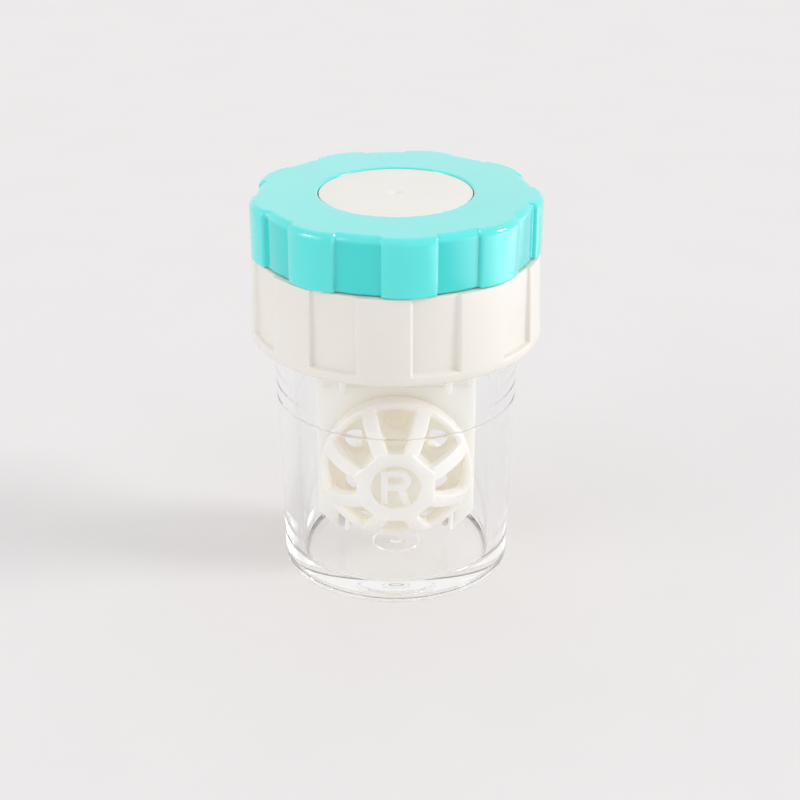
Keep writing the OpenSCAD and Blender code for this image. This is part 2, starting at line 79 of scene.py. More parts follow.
def close_up():
    """Merges what lies on one spot, points the faces outwards and leaves edit mode."""
    bpy.ops.mesh.select_all(action="SELECT")
    bpy.ops.mesh.remove_doubles(threshold=1e-6)
    bpy.ops.mesh.normals_make_consistent(inside=False)
    bpy.ops.object.mode_set(mode="OBJECT")


def slab(name, outline, along):
    """A flat piece: a closed outline, filled and drawn out along a vector in mm."""
    piece = start_line(name, outline)
    bpy.ops.mesh.select_all(action="SELECT")
    bpy.ops.mesh.edge_face_add()
    bpy.ops.mesh.extrude_region_move(TRANSFORM_OT_translate={"value": Vector(along) * mm})
    close_up()
    return piece


side = [(ear_x, plate_low), (ear_x, ear_low), (plate_x, ear_top), (plate_x, flange_low + 0.3)]
outline = [(x, plate_half_t, z) for x, z in side] + [(-x, plate_half_t, z) for x, z in reversed(side)]
plate = slab("lens_frame_plate", outline, (0, -2 * plate_half_t, 0))


def turned(name, profile, centre, axis, sides):
    """A turned piece: a profile in mm, spun all the way round the axis through the centre."""
    piece = start_line(name, profile)
    bpy.ops.mesh.select_all(action="SELECT")
    bpy.ops.mesh.spin(steps=sides, angle=2 * math.pi, center=Vector(centre) * mm, axis=axis)
    close_up()
    return piece


through = 2 * plate_half_t
cutters = []
for turn in range(6):
    angle = math.radians(60 * turn)
    x, z = drain_ring_r * math.sin(angle), basket_z + drain_ring_r * math.cos(angle)
    hole = [(x, through, z), (x + drain_r, through, z), (x + drain_r, -through, z), (x, -through, z)]
    cutters.append(turned("drain_hole", hole, (x, 0, z), (0, 1, 0), 40))
for front in (-1, 1):
    web_x = plate_x - web_edge
    pocket = [(x, front * web_half_t, z) for x, z in (
        (-web_x, web_low), (web_x, web_low), (web_x, flange_low), (-web_x, flange_low))]
    cutters.append(slab("web_pocket", pocket, (0, front, 0)))


def pick(piece):
    """Selects one piece alone and makes it the active one."""
    bpy.ops.object.select_all(action="DESELECT")
    piece.select_set(True)
    bpy.context.view_layer.objects.active = piece


def joined(name, pieces):
    """Joins pieces into the first one."""
    pick(pieces[0])
    for piece in pieces:
        piece.select_set(True)
    bpy.ops.object.join()
    pieces[0].name = pieces[0].data.name = name
    return pieces[0]


def with_modifier(piece, kind, **settings):
    """Adds a modifier with its settings and applies it."""
    pick(piece)
    modifier = piece.modifiers.new(kind.lower(), kind)
    for setting, value in settings.items():
        setattr(modifier, setting, value)
    bpy.ops.object.modifier_apply(modifier=modifier.name)


def cut(piece, cutter, operation="DIFFERENCE"):
    """Cuts one piece with another, or welds it on, and removes the other."""
    with_modifier(piece, "BOOLEAN", object=cutter, operation=operation, solver="EXACT", use_self=True)
    bpy.data.objects.remove(cutter)


cut(plate, joined("frame_cutters", cutters))

shells = [plate]
seat_top = plate_half_t + seat_rise
dome_r = (seat_r ** 2 + seat_rise ** 2) / (2 * seat_rise)
for front in (-1, 1):
    dome = [(dome_r * math.sin(a), front * (seat_top - dome_r + dome_r * math.cos(a)), basket_z)
            for a in (math.asin(seat_r / dome_r) * k / 10 for k in range(11))]
    dome += [(seat_r, 0, basket_z), (0, 0, basket_z)]
    shells.append(turned("lens_seat", dome, (0, 0, basket_z), (0, 1, 0), 64))
    rib = [(front * rib_x - rib_half_t, y, z) for y, z in (
        (-rib_low_y, rib_low), (rib_low_y, rib_low), (rib_high_y, rib_high), (-rib_high_y, rib_high))]
    shells.append(slab("rib", rib, (2 * rib_half_t, 0, 0)))
    stub = [(front * x, 0, hinge_z + r) for x, r in (
        (stub_root, 0), (stub_root, stub_r), (stub_tip + stub_bevel, stub_r),
        (stub_tip, stub_r - stub_bevel), (stub_tip, 0))]
    shells.append(turned("hinge_stub", stub, (0, 0, hinge_z), (1, 0, 0), 32))
flange = [(0, 0, flange_low), (flange_r, 0, flange_low), (flange_r, 0, flange_high), (0, 0, flange_high)]
shells.append(turned("flange", flange, (0, 0, 0), (0, 0, 1), 128))
socket = [(r, 0, z) for r, z in (
    (0, socket_low), (socket_r, socket_low), (socket_r, socket_high), (0, socket_high))]
shells.append(turned("socket", socket, (0, 0, 0), (0, 0, 1), 96))
lens_frame = joined("lens_frame_moulding", shells)
bore = [(0, 0, socket_low - 1), (snap_r, 0, socket_low - 1), (snap_r, 0, snap_z - 0.1), (shaft_r, 0, snap_z)]
bore += [(shaft_r, 0, flange_high + 1), (0, 0, flange_high + 1)]
cut(lens_frame, turned("socket_bore", bore, (0, 0, 0), (0, 0, 1), 64))


def moulded(piece, voxel, rounds, keep):
    """Fuses the shells of a piece into one moulding with soft edges."""
    with_modifier(piece, "REMESH", mode="VOXEL", voxel_size=voxel * mm, use_smooth_shade=True)
    with_modifier(piece, "SMOOTH", factor=0.5, iterations=rounds)
    with_modifier(piece, "DECIMATE", ratio=keep)
    bpy.ops.object.shade_smooth()


moulded(lens_frame, voxel=0.16, rounds=4, keep=0.5)


def new_material(name):
    """A material with its shader, and the links and the texture coordinates that its patterns use."""
    material = bpy.data.materials.new(name)
    material.use_nodes = True
    nodes, links = material.node_tree.nodes, material.node_tree.links
    place = nodes.new("ShaderNodeTexCoord")
    return material, nodes, links, nodes["Principled BSDF"], place.outputs["Object"]


def cloud(nodes, links, place, scale, detail):
    """A noise pattern on the piece's own coordinates; scale is in waves per metre."""
    noise = nodes.new("ShaderNodeTexNoise")
    noise.inputs["Scale"].default_value = scale
    noise.inputs["Detail"].default_value = detail
    links.new(place, noise.inputs["Vector"])
    return noise.outputs["Fac"]


def ramp(nodes, links, pattern, low, high):
    """Turns a pattern into colours between low and high."""
    colours = nodes.new("ShaderNodeValToRGB")
    first, second = colours.color_ramp.elements
    first.position, second.position = 0.3, 0.7
    first.color, second.color = (*low, 1), (*high, 1)
    links.new(pattern, colours.inputs["Fac"])
    return colours.outputs["Color"]


def spread(nodes, links, pattern, low, high):
    """Turns a pattern into numbers between low and high."""
    reach = nodes.new("ShaderNodeMapRange")
    reach.inputs["To Min"].default_value = low
    reach.inputs["To Max"].default_value = high
    links.new(pattern, reach.inputs["Value"])
    return reach.outputs["Result"]


def raised(nodes, links, shader, pattern, strength, depth):
    """Raises a pattern on the surface; depth is in mm."""
    bump = nodes.new("ShaderNodeBump")
    bump.inputs["Strength"].default_value = strength
    bump.inputs["Distance"].default_value = depth * mm
    links.new(pattern, bump.inputs["Height"])
    links.new(bump.outputs["Normal"], shader.inputs["Normal"])


def let_light_in(shader, weight, radius, depth):
    """Lets light into a plastic, to a depth in mm; radius says how far each of red, green and blue goes."""
    shader.inputs["Subsurface Weight"].default_value = weight
    shader.inputs["Subsurface Radius"].default_value = radius
    shader.inputs["Subsurface Scale"].default_value = depth * mm


def white_plastic(name, low, high, weight, radius, depth):
    """Warm white moulded plastic that light goes into, with a finely textured skin."""
    material, nodes, links, shader, place = new_material(name)
    flow = cloud(nodes, links, place, 90, 3)
    grain = cloud(nodes, links, place, 5200, 2)
    links.new(ramp(nodes, links, flow, low, high), shader.inputs["Base Color"])
    links.new(spread(nodes, links, grain, 0.3, 0.42), shader.inputs["Roughness"])
    raised(nodes, links, shader, grain, 0.08, 0.02)
    shader.inputs["IOR"].default_value = 1.5
    let_light_in(shader, weight, radius, depth)
    return material


def coat(piece, material):
    """Gives a piece one material all over."""
    piece.data.materials.clear()
    piece.data.materials.append(material)


# The holder's white is lighter than the collar's: painted light, for the light that reaches the holder and
# the baskets through the cup and the collar.
holder_white_painted_light = white_plastic(
    "holder_white_painted_light", (0.97, 0.94, 0.86), (0.98, 0.955, 0.885),
    weight=0.9, radius=(1.0, 0.85, 0.6), depth=5.5)
coat(lens_frame, holder_white_painted_light)
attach(lens_frame, "rotor")
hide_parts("lens_frame")

# Lens baskets
# Two white domed cages, one on each side of the plate, each for one lens: a rim, eight curved spokes and
# an octagon hub with the eye mark standing in a round recess. Each is one moulding, clipped by two lugs
# onto the stubs of the frame's ears, and the lugs are staggered so that both baskets share the stubs.
rim_r, rim_in = 11.65, 10.45
rim_back, rim_front = -1.3, -4.3
hub_face, hub_back, hub_half = -10.0, -6.6, 5.7
recess_r, recess_y = 3.7, -8.6
dome_y, dome_out, dome_in = 1.102, 12.48, 10.88
spoke_half, spoke_pitch = 1.1, 45
spoke_start, spoke_end = 180 - 30.1, 180 - 64.3
into_hub, into_rim = 4.6, 1.3
lug_r, lug_t, eye_r = 1.2, 0.8, 0.65
arm_y, arm_round = rim_back - 1.0, 0.4
mark_x, mark_z, stroke_w = 2.2, 2.85, 1
leg_x, leg_w = 0.025, 1.15
bar_end = 0.6
bowl_x, bowl_z, bowl_out, bowl_in = 0.525, 1.175, 1.675, 0.675
basket_middle = (0, 0, basket_z)

rim = [(r, y, basket_z) for r, y in (
    (rim_in, rim_back), (rim_r - 0.2, rim_back), (rim_r, rim_back - 0.2), (rim_r, rim_front + 0.45),
    (rim_r - 0.13, rim_front + 0.13), (rim_r - 0.45, rim_front), (rim_in + 0.2, rim_front),
    (rim_in, rim_front + 0.2), (rim_in, rim_back))]
shells = [turned("basket_rim", rim, basket_middle, (0, 1, 0), 128)]


def arc(centre, radius, start, end, steps):
    """Points on an arc in a plane, from one angle to another in degrees."""
    angles = [math.radians(start + (end - start) * k / steps) for k in range(steps + 1)]
    return [(centre[0] + radius * math.cos(a), centre[1] + radius * math.sin(a)) for a in angles]


def turn_mesh(piece, degrees, axis, centre):
    """Turns all of a piece's mesh about an axis through a centre in mm."""
    pick(piece)
    bpy.ops.object.mode_set(mode="EDIT")
    bpy.ops.mesh.select_all(action="SELECT")
    middle = Vector(centre) * mm
    bpy.ops.transform.rotate(value=math.radians(degrees), orient_axis=axis, center_override=middle)
    bpy.ops.object.mode_set(mode="OBJECT")


def copied(piece):
    """A copy of a piece, with its own mesh."""
    pick(piece)
    bpy.ops.object.duplicate(linked=False)
    return bpy.context.object


outer = arc((dome_y, 0), dome_out, spoke_start, spoke_end, 12)
inner = arc((dome_y, 0), dome_in, spoke_end, spoke_start, 12)
band = [(outer[0][0], into_hub)] + outer + [(outer[-1][0] + into_rim, outer[-1][1])]
band += [(inner[0][0] + into_rim, inner[0][1])] + inner + [(inner[-1][0], into_hub)]
spoke = slab("spoke", [(-spoke_half, y, basket_z + z) for y, z in band], (2 * spoke_half, 0, 0))
turn_mesh(spoke, spoke_pitch / 2, "Y", basket_middle)
shells.append(spoke)
for turn in range(1, 8):
    shells.append(copied(spoke))
    turn_mesh(shells[-1], spoke_pitch * turn, "Y", basket_middle)

corner_r = hub_half / math.cos(math.radians(spoke_pitch / 2))
octagon = [(corner_r * math.cos(math.radians(a)), hub_face, basket_z + corner_r * math.sin(math.radians(a)))
           for a in (spoke_pitch / 2 + spoke_pitch * k for k in range(8))]
hub = slab("hub", octagon, (0, hub_back - hub_face, 0))
recess = [(0, hub_face - 1, basket_z), (recess_r, hub_face - 1, basket_z),
          (recess_r, recess_y, basket_z), (0, recess_y, basket_z)]
cut(hub, turned("mark_recess", recess, basket_middle, (0, 1, 0), 64))
shells.append(hub)

for x, top in ((8.25, 10.05), (-8.1, 8.85)):
    foot = arc((0, hinge_z), lug_r, 60, -60, 12)
    foot += arc((arm_y + arm_round, hinge_z - 0.62), arm_round, -90, -180, 4)
    foot += [(arm_y, top), (rim_back, top), (rim_back, hinge_z + 1.02)]
    lug = slab("lug", [(x, y, z) for y, z in foot], (lug_t, 0, 0))
    eye = [(x + dx, 0, hinge_z + r) for dx, r in ((-1, 0), (-1, eye_r), (2, eye_r), (2, 0))]
    cut(lug, turned("lug_eye", eye, (0, 0, hinge_z), (1, 0, 0), 32))
    shells.append(lug)
cage = joined("basket_cage", shells)


def bar(low_x, low_z, high_x, high_z):
    """The corners of a straight stroke of an eye mark."""
    return [(low_x, low_z), (high_x, low_z), (high_x, high_z), (low_x, high_z)]


stem = bar(-mark_x, -mark_z, stroke_w - mark_x, mark_z)
top_bar = bar(-mark_x, mark_z - stroke_w, bar_end, mark_z)
middle_bar = bar(-mark_x, -stroke_w / 2, bar_end, stroke_w / 2)
low_bar = bar(-mark_x, -mark_z, mark_x, stroke_w - mark_z)
bowl = arc((bowl_x, bowl_z), bowl_out, 90, -90, 16) + arc((bowl_x, bowl_z), bowl_in, -90, 90, 12)
leg = [(leg_x, 0), (mark_x - leg_w, -mark_z), (mark_x, -mark_z), (leg_x + leg_w, 0)]
right_strokes = [stem, top_bar, middle_bar, bowl, leg]
left_strokes = [stem, low_bar]
mark_depth = recess_y - hub_face + 0.4
for name, body, strokes in (
        ("basket_right", "right_basket", right_strokes), ("basket_left", "left_basket", left_strokes)):
    marks = [slab("mark", [(x, hub_face, basket_z + z) for x, z in stroke], (0, mark_depth, 0))
             for stroke in strokes]
    basket = joined(name + "_moulding", [copied(cage)] + marks)
    if body == "left_basket":
        turn_mesh(basket, 180, "Z", (0, 0, 0))
    moulded(basket, voxel=0.13, rounds=3, keep=0.8)
    coat(basket, holder_white_painted_light)
    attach(basket, body)
    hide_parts(name)
bpy.data.objects.remove(cage)

# Spindle
# White shaft that takes the knob's turn down to the lens frame: a flat head in the knob's pocket, a
# hexagon, a round bearing in the collar's bore and a split end that snaps into the frame's socket.
spindle_white = white_plastic(
    "spindle_white", (0.82, 0.77, 0.68), (0.85, 0.81, 0.73),
    weight=0.15, radius=(1.0, 0.7, 0.4), depth=1.2)
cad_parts["spindle"].material_slots[0].material = spindle_white

# Spindle seal and cap gasket
# Two rings of translucent white silicone: an O-ring in the spindle's groove, and a flat ring that the
# cup's rim presses against the collar's deck. Both are moulded, with a matt skin that holds fine dust.
silicone, nodes, links, shader, place = new_material("matt_silicone")
dust = cloud(nodes, links, place, 2600, 4)
links.new(ramp(nodes, links, dust, (0.78, 0.78, 0.75), (0.86, 0.86, 0.83)), shader.inputs["Base Color"])
links.new(spread(nodes, links, dust, 0.45, 0.65), shader.inputs["Roughness"])
raised(nodes, links, shader, dust, 0.15, 0.03)
let_light_in(shader, 0.4, (1.0, 0.95, 0.85), 0.8)
for name in ("spindle_seal", "cap_gasket"):
    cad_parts[name].material_slots[0].material = silicone

# Screw collar
# White ring that screws onto the cup's neck, with nine raised grip pads, a plain band below them and a deck
# that carries the spindle's bearing. It is moulded in one shot, and a helical ridge inside grips the cup.
collar_low, collar_high = 38.2, 51.3
band_r, top_r, panel_r, skirt_r = 21.89, 21.46, 20.99, 19.49
foot_r, ledge_z = 21.45, 39.81
pad_half, pad_turn, step_width = 10.6, -4.5, 1.3
deck_low, boss_low, boss_r = 48.8, 45.3, 7
pitch, collar_thread_z = 3.6, 39.688
root, crest, thread_depth, thread_bury = 0.75, 0.4, 1, 0.3
ninth = 40


def step_columns(half):
    """Angles of a wall's columns over one ninth of a turn, closest together at the steps at +-half."""
    inside = [(half - 1.2) * k / 9 for k in range(9)]
    step = [half - 1.2 + 0.2 * k for k in range(13)]
    outside = [half + 1.2 + (ninth / 2 - half - 1.2) * k / 6 for k in range(1, 7)]
    right = inside + step + outside
    return [-a for a in reversed(right[1:])] + right


def raised_share(angle, half):
    """How far a column stands up: 1 on the raised part, 0 beside it, with soft edges."""
    t = min(1, max(0, (half + step_width / 2 - abs(angle)) / step_width))
    return t * t * t * (t * (6 * t - 15) + 10)


angles = step_columns(pad_half)
shares = [raised_share(a, pad_half) for a in angles]


def pad_ring(z, inset=0.0, panel=None):
    """A ring of the collar's wall: pads at the tapered wall, panels at their own radius."""
    pad = band_r - (band_r - top_r) * (z - collar_low) / (collar_high - collar_low)
    low = pad if panel is None else panel
    return z, [low + (pad - low) * share - inset for share in shares]


def plain_ring(z, r):
    """A round ring of a ninefold wall."""
    return z, [r] * len(angles)


# The rings go up the outside, from the soft lower edge over the panels' ledge to the rounded top edge,
# across the deck to the spindle's bore, and back down round the boss and the skirt.
rings = [plain_ring(collar_low + up, foot_r + out) for up, out in ((0, 0), (0.04, 0.17), (0.16, 0.33))]
rings += [pad_ring(38.6), pad_ring(39.55)]
rings += [pad_ring(ledge_z + up, 0, panel_r + out) for up, out in (
    (-0.13, 0.83), (-0.04, 0.69), (0, 0.36), (0.04, 0.13), (0.17, 0.02), (0.49, 0))]
rings += [pad_ring(z, 0, panel_r) for z in (43, 46, 49, 50.8)]
rings += [pad_ring(collar_high - down, inset, panel_r) for down, inset in (
    (0.2, 0.02), (0.07, 0.08), (0.01, 0.2))]
rings += [plain_ring(collar_high, 20.3), plain_ring(collar_high, 8)]
rings += [plain_ring(collar_high - down, shaft_r + out) for down, out in ((0, 0.2), (0.06, 0.06), (0.2, 0))]
rings += [plain_ring(boss_low, shaft_r), plain_ring(boss_low, boss_r - 0.3)]
rings += [plain_ring(boss_low + 0.3, boss_r), plain_ring(deck_low, boss_r)]
rings += [plain_ring(deck_low, skirt_r), plain_ring(collar_low + 0.3, skirt_r)]
rings += [plain_ring(collar_low, skirt_r + 0.3), plain_ring(collar_low, foot_r)]


def select_where(piece, wanted):
    """Selects the points, in edit mode, for which a test holds."""
    edit = bmesh.from_edit_mesh(piece.data)
    for vert in edit.verts:
        vert.select_set(wanted(vert))
    edit.select_flush_mode()
    bmesh.update_edit_mesh(piece.data)


def ninefold(name, angles, turn, rings):
    """A piece with nine like parts: one ninth of its wall is drawn ring by ring, and copied round the axis.
    Each ring is a height and the columns' radii, in mm; the last ring meets the first one."""
    z, radii = rings[0]
    points = []
    for angle, r in zip(angles, radii):
        a = math.radians(angle + turn)
        points.append((r * math.sin(a), -r * math.cos(a), z))
    piece = start_line(name, points)
    count = len(angles)
    bpy.ops.mesh.select_all(action="SELECT")
    for level, (new_z, new_radii) in enumerate(rings[1:], 1):
        bpy.ops.mesh.extrude_region_move(TRANSFORM_OT_translate={"value": (0, 0, (new_z - z) * mm)})
        edit = bmesh.from_edit_mesh(piece.data)
        ring = [v for v in edit.verts if v.index >= level * count]
        ring.sort(key=lambda v: math.atan2(v.co.x, -v.co.y) - math.radians(turn))
        scales = [round(new / old, 7) for new, old in zip(new_radii, radii)]
        own = {vert.index: scale for vert, scale in zip(ring, scales)}
        for scale in sorted(set(scales)):
            select_where(piece, lambda vert: own.get(vert.index) == scale)
            bpy.ops.transform.resize(value=(scale, scale, 1), center_override=(0, 0, new_z * mm))
        select_where(piece, lambda vert: vert.index in own)
        z, radii = new_z, new_radii
    bpy.ops.mesh.select_all(action="SELECT")
    for copy in range(8):
        bpy.ops.mesh.duplicate()
        bpy.ops.transform.rotate(value=math.radians(ninth), orient_axis="Z", center_override=(0, 0, 0))
    close_up()
    return piece


collar = ninefold("screw_collar_moulding", angles, pad_turn, rings)


def helix(name, wall_r, crest_r, z, turns):
    """A thread ridge between two radii in mm, screwed upwards, with both ends run out into the wall."""
    section = [(0, -wall_r, z - root), (0, -crest_r, z - crest)]
    section += [(0, -crest_r, z + crest), (0, -wall_r, z + root)]
    corners = len(section)
    ridge = start_line(name, section + section[:1])
    bpy.ops.mesh.select_all(action="SELECT")
    bpy.ops.mesh.remove_doubles(threshold=1e-6)
    bpy.ops.object.mode_set(mode="OBJECT")
    with_modifier(ridge, "SCREW", axis="Z", angle=2 * math.pi * turns, screw_offset=pitch * turns * mm,
                  steps=int(72 * turns), render_steps=int(72 * turns))
    bpy.ops.object.mode_set(mode="EDIT")
    bpy.ops.mesh.select_all(action="DESELECT")
    bpy.ops.mesh.select_non_manifold()
    bpy.ops.mesh.fill_holes(sides=corners)
    sunk_r = wall_r + 0.15 * (wall_r - crest_r)
    last = len(ridge.data.vertices) // corners - 1
    run_out = 8
    for step in range(run_out):
        select_where(ridge, lambda vert: abs(vert.co.xy.length - crest_r * mm) < 0.01 * mm
                     and vert.index // corners in (step, last - step))
        sink = 1 + (sunk_r / crest_r - 1) * (1 - step / run_out)
        bpy.ops.transform.resize(value=(sink, sink, 1), center_override=(0, 0, 0))
    close_up()
    return ridge


thread = helix("collar_thread", skirt_r + thread_bury, skirt_r - thread_depth, collar_thread_z, 1)
cut(collar, thread, "UNION")
bpy.ops.object.shade_smooth_by_angle(angle=math.radians(35))
collar_white = white_plastic(
    "collar_white", (0.845, 0.815, 0.76), (0.865, 0.84, 0.79),
    weight=0.2, radius=(1.0, 0.7, 0.4), depth=1.2)
coat(collar, collar_white)
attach(collar, "collar")
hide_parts("screw_collar")

# Knob
# Turquoise grip that turns the lens holder: nine bulged lobes with steps between them, a rounded top edge,
# and a round pocket for the spindle's head. It is moulded hollow in glossy plastic and keyed by a hexagon.
knob_low, knob_high = 51.5, 60.0
crown_r, lobe_edge_r, valley_r = 21.79, 21.19, 20.59
lobe_half, lobe_turn = 10.8, 5.2
fillet = 1.0
pocket_r, pocket_low, pocket_wall_r = 11.49, 56.6, 13.29
sleeve_r, sleeve_wall_r, sleeve_low = 5.62, 7.54, 51.6
web_under, roof_under, hollow_r = 54.7, 58, 18.59

angles = step_columns(lobe_half)
half_w = lobe_edge_r * math.sin(math.radians(lobe_half))
rise = crown_r - lobe_edge_r * math.cos(math.radians(lobe_half))
bulge_r = (half_w ** 2 + rise ** 2) / (2 * rise)
bulge_centre = crown_r - bulge_r
lobes = []
for angle in angles:
    a = math.radians(min(abs(angle), lobe_half + 1.5))
    bulge = bulge_centre * math.cos(a) + math.sqrt(bulge_r ** 2 - (bulge_centre * math.sin(a)) ** 2)
    lobes.append(valley_r + (bulge - valley_r) * raised_share(angle, lobe_half))

# The rings go up the lobes and over the rounded top edge, down into the pocket, and back through the hollow
# between the pocket, the sleeve for the hexagon and the outer wall.
rings = [(knob_low + up, [r - inset for r in lobes]) for up, inset in (
    (0, 0.12), (0.03, 0.05), (0.1, 0.01), (0.25, 0), (2.5, 0), (5.5, 0))]
rings += [(knob_high - fillet + fillet * math.sin(a), [r - fillet + fillet * math.cos(a) for r in lobes])
          for a in (math.radians(10 * k) for k in range(10))]
rings += [(knob_high, [r - fillet - 0.4 for r in lobes])]
rings += [plain_ring(knob_high, r) for r in (17, 13, 12.1)]
rings += [plain_ring(knob_high - down, pocket_r + out) for down, out in (
    (0, 0.3), (0.05, 0.13), (0.14, 0.04), (0.3, 0))]
rings += [plain_ring(pocket_low, pocket_r), plain_ring(pocket_low, sleeve_r)]
rings += [plain_ring(sleeve_low, sleeve_r), plain_ring(sleeve_low, sleeve_wall_r)]
rings += [plain_ring(web_under, sleeve_wall_r), plain_ring(web_under, pocket_wall_r)]
rings += [plain_ring(roof_under, pocket_wall_r), plain_ring(roof_under, hollow_r)]
rings += [plain_ring(knob_low, hollow_r), rings[0]]
knob = ninefold("knob_moulding", angles, lobe_turn, rings)
bpy.ops.object.shade_smooth_by_angle(angle=math.radians(35))


def between(nodes, links, value, start, end):
    """0 before the start and 1 after the end, both in mm, with a smooth step between them."""
    step = nodes.new("ShaderNodeMapRange")
    step.interpolation_type = "SMOOTHSTEP"
    step.inputs["From Min"].default_value = start * mm
    step.inputs["From Max"].default_value = end * mm
    links.new(value, step.inputs["Value"])
    return step.outputs["Result"]


def both(nodes, links, one, other):
    """The product of two patterns."""
    product = nodes.new("ShaderNodeMath")
    product.operation = "MULTIPLY"
    links.new(one, product.inputs[0])
    links.new(other, product.inputs[1])
    return product.outputs["Value"]


def radius_and_height(nodes, links, place):
    """A point's distance from the case's axis, and its height."""
    split = nodes.new("ShaderNodeSeparateXYZ")
    across = nodes.new("ShaderNodeCombineXYZ")
    from_axis = nodes.new("ShaderNodeVectorMath")
    from_axis.operation = "LENGTH"
    links.new(place, split.inputs["Vector"])
    links.new(split.outputs["X"], across.inputs["X"])
    links.new(split.outputs["Y"], across.inputs["Y"])
    links.new(across.outputs["Vector"], from_axis.inputs[0])
    return from_axis.outputs["Value"], split.outputs["Z"]


def tinted(nodes, links, where, colour, tint):
    """A pattern's colour, turned into a tint where another pattern is 1."""
    mix = nodes.new("ShaderNodeMix")
    mix.data_type = "RGBA"
    links.new(where, mix.inputs["Factor"])
    links.new(colour, mix.inputs[6])
    mix.inputs[7].default_value = (*tint, 1)
    return mix.outputs[2]


# The valleys between the lobes are painted a deeper tone than the lobes, up to the rounded edge: painted
# shade.
turquoise, nodes, links, shader, place = new_material("glossy_turquoise")
flow = cloud(nodes, links, place, 70, 3)
grain = cloud(nodes, links, place, 3800, 2)
radius, height = radius_and_height(nodes, links, place)
in_valley = between(nodes, links, radius, valley_r + 0.51, valley_r + 0.11)
below_edge = between(nodes, links, height, knob_high - 0.7, knob_high - 1.3)
valley_shade = both(nodes, links, in_valley, below_edge)
knob_tone = ramp(nodes, links, flow, (0.07, 0.80, 0.775), (0.085, 0.83, 0.80))
# The tint (0.012, 0.715, 0.70) in the valleys is painted shade.
links.new(tinted(nodes, links, valley_shade, knob_tone, (0.012, 0.715, 0.70)), shader.inputs["Base Color"])
links.new(spread(nodes, links, grain, 0.14, 0.22), shader.inputs["Roughness"])
raised(nodes, links, shader, grain, 0.05, 0.02)
shader.inputs["IOR"].default_value = 1.55
let_light_in(shader, 0.2, (0.2, 1.0, 1.0), 1.0)
shader.inputs["Coat Weight"].default_value = 1.0
shader.inputs["Coat Roughness"].default_value = 0.08
coat(knob, turquoise)
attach(knob, "rotor")
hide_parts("knob")

# Centre disc
# White disc that closes the knob's pocket and hides the spindle's head, pressed in flush with the top.
# It is moulded, with a soft edge and the small dimple of its gate in the middle.
disc_r, disc_low, disc_high = 11.37, 58.05, 59.85
dimple_r, dimple_half, dimple_mid = 1.2, 0.17, 59.68
edge_round = 0.12
edge = [(dimple_r * k / 8, dimple_mid - dimple_half * math.cos(math.pi * k / 8)) for k in range(9)]
edge += [(1.6, disc_high), (6, disc_high)]
edge += arc((disc_r - edge_round, disc_high - edge_round), edge_round, 90, 0, 5)
edge += [(disc_r, disc_low + 0.2), (disc_r - 0.2, disc_low), (0, disc_low)]
disc = turned("centre_disc_moulding", [(r, 0, z) for r, z in edge], (0, 0, 0), (0, 0, 1), 160)
bpy.ops.object.shade_smooth_by_angle(angle=math.radians(35))
disc_white = white_plastic(
    "disc_white", (0.84, 0.825, 0.785), (0.87, 0.855, 0.815),
    weight=0.1, radius=(1.0, 0.7, 0.4), depth=1.2)
coat(disc, disc_white)
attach(disc, "rotor")
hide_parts("centre_disc")

# Cup
# Clear thick-walled barrel for the solution, injection moulded with a little draft, polished inside and out.
# It stands on a foot ring, with a fine fill line and a threaded neck, and its gate leaves a dimple below.
draft = math.tan(math.radians(1.4))
gate_r, gate_high, gate_round = 3.75, 1, 0.28
under_z, foot_in, foot_out, foot_round = 0.4, 14.82, 17.72, 0.5
floor_z, floor_r, floor_round = 2.5, 14.77, 1.2
wall_t = 3
fill_z = 28.3
shoulder_z, rim_z, lip_round = 38, 47.6, 0.3
neck_thread_z, neck_thread_turns = 41.2, 1.25


def inside_r(z):
    """The cup's inside radius at a height."""
    return floor_r + (z - floor_z) * draft


def outside_r(z):
    """The cup's outside radius at a height."""
    return inside_r(z) + wall_t


# The profile goes from the gate's nub over its recess and the foot ring, up the outside with the fill
# line's bead, round the shoulder, the neck and the rim, and down the inside to the middle of the floor.
neck_r = outside_r(shoulder_z) - 0.6
wall = [(0, 0.7), (0.35, 0.71), (0.7, 0.77), (1, 0.88), (1.3, 0.98), (1.7, gate_high), (3.1, gate_high)]
wall += arc((gate_r - gate_round, gate_high - gate_round), gate_round, 90, 0, 6)
wall += arc((gate_r + gate_round, under_z + gate_round), gate_round, 180, 270, 6)
wall += [(4.4, under_z), (14.2, under_z)] + arc((foot_in - 0.2, under_z - 0.2), 0.2, 90, 0, 4)
wall += arc((foot_in + 0.15, 0.15), 0.15, 180, 270, 4)
wall += arc((foot_out - foot_round, foot_round), foot_round, -90, 0, 8)
wall += [(outside_r(z), z) for z in (0.9, 1.4, 14, 27.4, 27.8)]
wall += [(outside_r(fill_z + dz) + bead, fill_z + dz) for dz, bead in (
    (-0.3, 0), (-0.2, 0.01), (-0.1, 0.03), (0, 0.04), (0.1, 0.03), (0.2, 0.01), (0.3, 0))]
wall += [(outside_r(z), z) for z in (28.8, 29.2, 33, 36.6, 37.1)]
wall += arc((outside_r(shoulder_z) - lip_round, shoulder_z - lip_round), lip_round, 0, 90, 5)
wall += [(neck_r + 0.1, shoulder_z), (neck_r, shoulder_z + 0.1)]
wall += [(neck_r, z) for z in (38.5, 39, 46.4, 46.8)]
wall += arc((neck_r - lip_round, rim_z - lip_round), lip_round, 0, 90, 5)
wall += arc((inside_r(rim_z) + lip_round, rim_z - lip_round), lip_round, 90, 180, 5)
wall += [(inside_r(z), z) for z in (46.8, 46.2, 36, 26, 15, 5, 4.3)]
wall += arc((inside_r(floor_z + floor_round) - floor_round, floor_z + floor_round), floor_round, 0, -90, 12)
wall += [(13.2, floor_z), (12.6, floor_z), (6, floor_z), (0, floor_z)]
cup = turned("cup_moulding", [(r, 0, z) for r, z in wall], (0, 0, 0), (0, 0, 1), 256)
